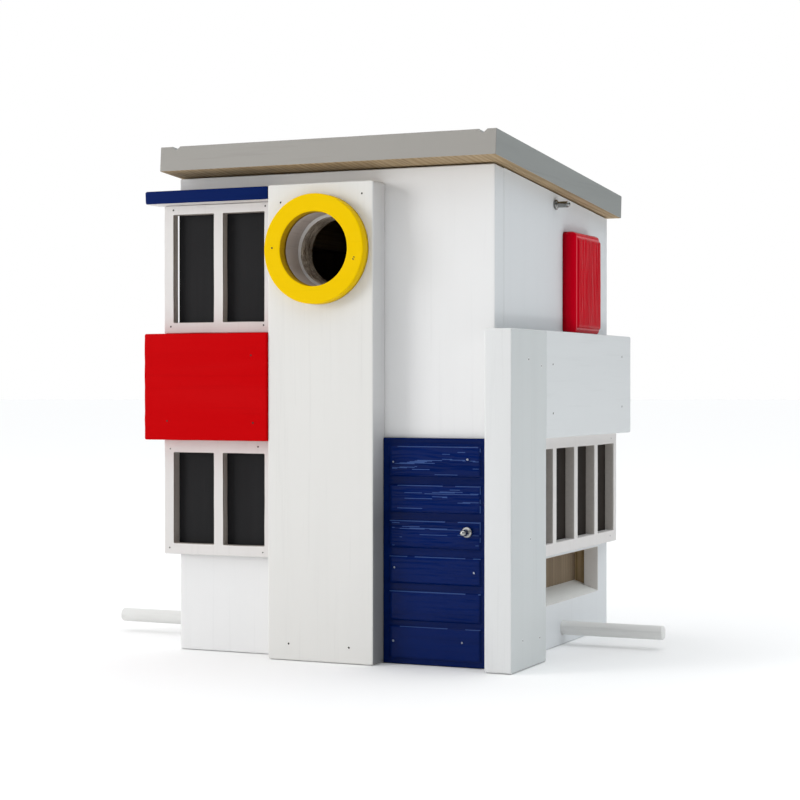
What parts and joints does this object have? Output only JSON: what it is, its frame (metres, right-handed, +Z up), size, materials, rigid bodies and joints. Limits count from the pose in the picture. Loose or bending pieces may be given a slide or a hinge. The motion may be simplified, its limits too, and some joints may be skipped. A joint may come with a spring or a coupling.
{
  "type": "nest box with feeding sides",
  "caption": "Small house-shaped nest box with a ring round its entrance, false windows and door, a feeding slot and perch on each side, and a sloped roof that lifts off.",
  "frame": {"origin": "middle of the body's flat underside, between the outer faces of its four walls", "axes": "+Z up, -Y towards the viewer of the entrance front, +X towards the side with the shutter and the four-light window"},
  "size_m": [0.2938, 0.1955, 0.2537],
  "materials": {
    "white_paint": "painted, satin",
    "frame_paint": "painted, satin",
    "dark_paint": "painted, matt",
    "raw_wood": "sawn, bare",
    "inner_wood": "sawn, bare",
    "grey_paint": "painted, satin",
    "blue_paint": "painted, satin",
    "red_paint": "painted, satin",
    "yellow_paint": "painted, satin",
    "steel": "turned"
  },
  "bodies": {
    "box": {"front_wall": "white_paint", "back_wall": "white_paint", "left_wall": "white_paint", "right_wall": "white_paint", "floor_board": "raw_wood", "inner_board_left": "inner_wood", "inner_board_right": "inner_wood", "seed_tray_left": "white_paint", "seed_tray_right": "white_paint", "pylon": "white_paint", "entrance_ring": "yellow_paint", "canopy": "blue_paint", "upper_window": "frame_paint", "upper_window_backing": "dark_paint", "balcony_front": "red_paint", "lower_window": "frame_paint", "lower_window_backing": "dark_paint", "door": "blue_paint", "door_knob": "steel", "corner_post": "white_paint", "balcony_side": "white_paint", "side_window": "frame_paint", "side_window_backing": "dark_paint", "shutter": "red_paint", "perch_left": "frame_paint", "perch_right": "frame_paint"},
    "roof": {"roof_board": "grey_paint", "roof_cleat_left": "raw_wood", "roof_cleat_right": "raw_wood"},
    "pin": {"roof_pin": "steel"}
  },
  "joints": [
    {"name": "roof_lift", "type": "slide", "parent": "box", "child": "roof", "axis": [0, 0, 1], "range_m": [0, 0.06]},
    {"name": "pin_pull", "type": "slide", "parent": "box", "child": "pin", "axis": [1, 0, 0], "range_m": [0, 0.012]}
  ]
}
